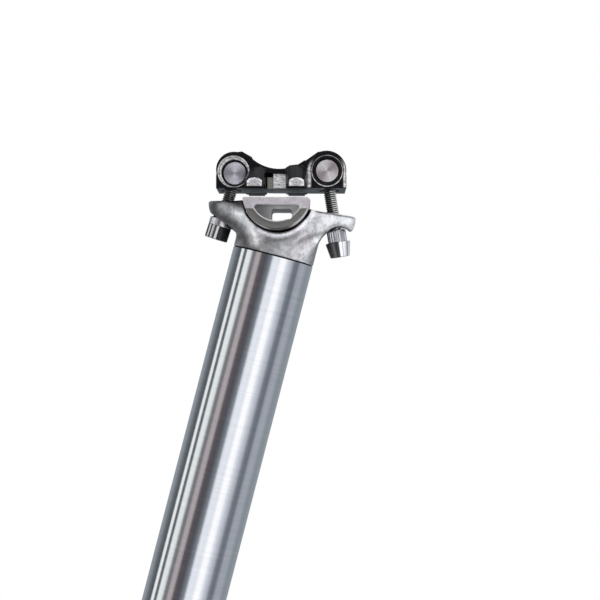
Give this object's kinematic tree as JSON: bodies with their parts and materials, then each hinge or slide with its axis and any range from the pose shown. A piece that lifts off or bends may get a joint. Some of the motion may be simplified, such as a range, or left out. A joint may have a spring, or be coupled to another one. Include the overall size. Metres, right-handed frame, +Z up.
{
  "type": "suspension seatpost",
  "caption": "Telescopic suspension seatpost: a wide upper tube carrying a bolted, tilting saddle clamp slides over a thinner sprung inner post.",
  "frame": {"origin": "post axis at the minimum-insertion line of the inner post", "axes": "+Z up along the post axis, +X to the rear of the bicycle, +Y to the bicycle's left; the saddle rails slope 14.54 degrees to this frame"},
  "size_m": [0.058, 0.055, 0.4056],
  "materials": {
    "brushed_tube": "fine circumferential brushing, bright",
    "forged_head": "satin, blasted and tumbled",
    "machined_cradle": "machined satin, darker lower crescent",
    "black_clamp": "black anodised with machined bare faces",
    "hard_anodised_post": "hard anodised, dark satin",
    "black_collar": "black anodised, satin",
    "stainless": "turned, radial marks on the end faces",
    "polished_bolt": "polished with dark reflections",
    "spring_steel": "oiled dark wire",
    "fitting_aluminium": "turned",
    "bearing_polymer": "matt bearing plastic",
    "seal_rubber": "matt",
    "elastomer": "satin elastomer",
    "key_brass": "machined"
  },
  "bodies": {
    "post": {"inner_post": "hard_anodised_post", "top_cap": "fitting_aluminium", "rod_guide_bushing": "bearing_polymer", "upper_bushing": "bearing_polymer", "retaining_ring": "spring_steel", "main_spring": "spring_steel"},
    "preload_stack": {"preload_seat": "fitting_aluminium"},
    "preload_screw": {"preload_adjuster": "fitting_aluminium"},
    "slider": {"head": "forged_head", "upper_tube": "brushed_tube", "seal_collar": "black_collar", "wiper_seal": "seal_rubber", "lower_bushing": "bearing_polymer", "anti_rotation_keys": "key_brass", "push_rod": "stainless", "top_out_bumper": "elastomer", "bottom_out_bumper": "elastomer", "spring_foot": "fitting_aluminium", "foot_screw": "polished_bolt"},
    "saddle_clamp": {"lower_cradle": "machined_cradle", "upper_clamp": "black_clamp"},
    "front_nut": {"front_barrel_nut": "stainless"},
    "front_seat": {"front_washer": "stainless"},
    "front_bolt": {"front_clamp_bolt": "polished_bolt"},
    "rear_nut": {"rear_barrel_nut": "stainless"},
    "rear_seat": {"rear_washer": "stainless"},
    "rear_bolt": {"rear_clamp_bolt": "polished_bolt"}
  },
  "joints": [
    {"name": "suspension_travel", "type": "slide", "parent": "post", "child": "slider", "axis": [0, 0, -1], "range_m": [0, 0.05], "stiffness_N_per_m": 15000, "springref_m": -0.01, "deforming": ["main_spring"]},
    {"name": "preload_lift", "type": "slide", "parent": "post", "child": "preload_stack", "axis": [0, 0, 1], "range_m": [0, 0.0075]},
    {"name": "preload_turn", "type": "hinge", "parent": "preload_stack", "child": "preload_screw", "pos_m": [0, 0, -0.1], "axis": [0, 0, 1], "range_deg": [0, 1801]},
    {"name": "saddle_tilt", "type": "hinge", "parent": "slider", "child": "saddle_clamp", "pos_m": [-0.004, 0, 0.2718], "axis": [0, 1, 0], "range_deg": [-8, 8]},
    {"name": "front_nut_swivel", "type": "hinge", "parent": "saddle_clamp", "child": "front_nut", "pos_m": [-0.0217, 0, 0.2763], "axis": [0, 1, 0], "range_deg": [-7, 7]},
    {"name": "front_seat_slide", "type": "slide", "parent": "front_nut", "child": "front_seat", "axis": [-0.0576, 0, -0.9983], "range_m": [-0.0026, 0.0026]},
    {"name": "front_bolt_turn", "type": "hinge", "parent": "front_seat", "child": "front_bolt", "pos_m": [-0.0217, 0, 0.2763], "axis": [-0.0576, 0, -0.9983], "range_deg": [-1126, 1126]},
    {"name": "rear_nut_swivel", "type": "hinge", "parent": "saddle_clamp", "child": "rear_nut", "pos_m": [0.012, 0, 0.286], "axis": [0, 1, 0], "range_deg": [-7, 7]},
    {"name": "rear_seat_slide", "type": "slide", "parent": "rear_nut", "child": "rear_seat", "axis": [0.4035, 0, -0.915], "range_m": [-0.0029, 0.0029]},
    {"name": "rear_bolt_turn", "type": "hinge", "parent": "rear_seat", "child": "rear_bolt", "pos_m": [0.012, 0, 0.286], "axis": [0.4035, 0, -0.915], "range_deg": [-1280, 1280]}
  ],
  "couplings": [
    {"joint": "preload_turn", "follows": "preload_lift", "rad_per_m": 4188.8},
    {"joint": "front_nut_swivel", "follows": "saddle_tilt", "ratio": -0.85981},
    {"joint": "front_seat_slide", "follows": "saddle_tilt", "m_per_rad": 0.017905},
    {"joint": "front_bolt_turn", "follows": "saddle_tilt", "ratio": 140.62},
    {"joint": "rear_nut_swivel", "follows": "saddle_tilt", "ratio": -0.77191},
    {"joint": "rear_seat_slide", "follows": "saddle_tilt", "m_per_rad": -0.020349},
    {"joint": "rear_bolt_turn", "follows": "saddle_tilt", "ratio": -159.82}
  ]
}
